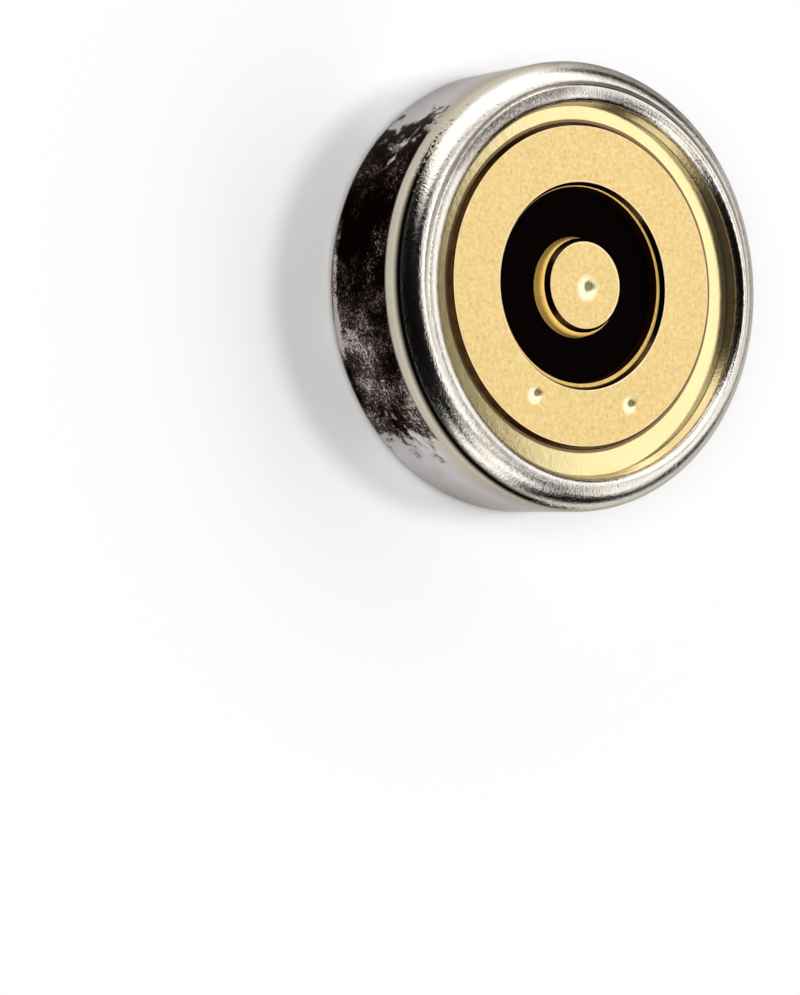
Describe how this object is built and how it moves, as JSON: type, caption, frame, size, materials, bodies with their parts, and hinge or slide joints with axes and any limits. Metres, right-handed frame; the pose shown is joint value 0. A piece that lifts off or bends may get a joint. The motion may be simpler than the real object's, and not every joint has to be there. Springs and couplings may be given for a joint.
{
  "type": "electret condenser microphone capsule",
  "caption": "Round electret microphone capsule: drawn metal can with sound ports in front, its rear rim rolled over a board with a raised ring terminal and a centre terminal.",
  "frame": {"origin": "centre of the flat sound-inlet face, on the axis of the can", "axes": "+Z along the axis of the can, from the sound-inlet face towards the terminals; the two ground vias lie on the +X side"},
  "size_m": [0.006, 0.006, 0.0019],
  "materials": {
    "nickel_sheet": "nickel-plated drawn sheet, fine grained",
    "brass": "plain rolled",
    "metallised_film": "thin film, metallised",
    "polyester": "clear punched film",
    "electret": "charged fluoropolymer film",
    "black_plastic": "moulded, matt",
    "laminate": "dark resin laminate, cut edge",
    "bright_gold": "smooth gold plating on copper",
    "matte_gold": "fine-grained gold plating on copper",
    "black_mask": "black solder mask",
    "copper": "plated copper",
    "black_moulding": "moulded package",
    "tin": "tin plating",
    "ceramic": "fired ceramic"
  },
  "bodies": {
    "root": {"can": "nickel_sheet", "diaphragm_ring": "brass", "diaphragm": "metallised_film", "spacer": "polyester", "electret_film": "electret", "back_plate": "brass", "holder": "black_plastic", "contact_ring": "brass", "board": "laminate", "ground_foil": "bright_gold", "output_foil": "bright_gold", "ring_terminal": "matte_gold", "centre_terminal": "matte_gold", "solder_mask": "black_mask", "ground_via_1": "copper", "ground_via_2": "copper", "output_via": "copper", "gate_track": "copper", "output_track": "copper", "ground_track": "copper", "fet_body": "black_moulding", "gate_lead": "tin", "source_lead": "tin", "drain_lead": "tin", "capacitor_1_body": "ceramic", "capacitor_1_output_end": "tin", "capacitor_1_ground_end": "tin", "capacitor_2_body": "ceramic", "capacitor_2_output_end": "tin", "capacitor_2_ground_end": "tin"}
  },
  "joints": []
}
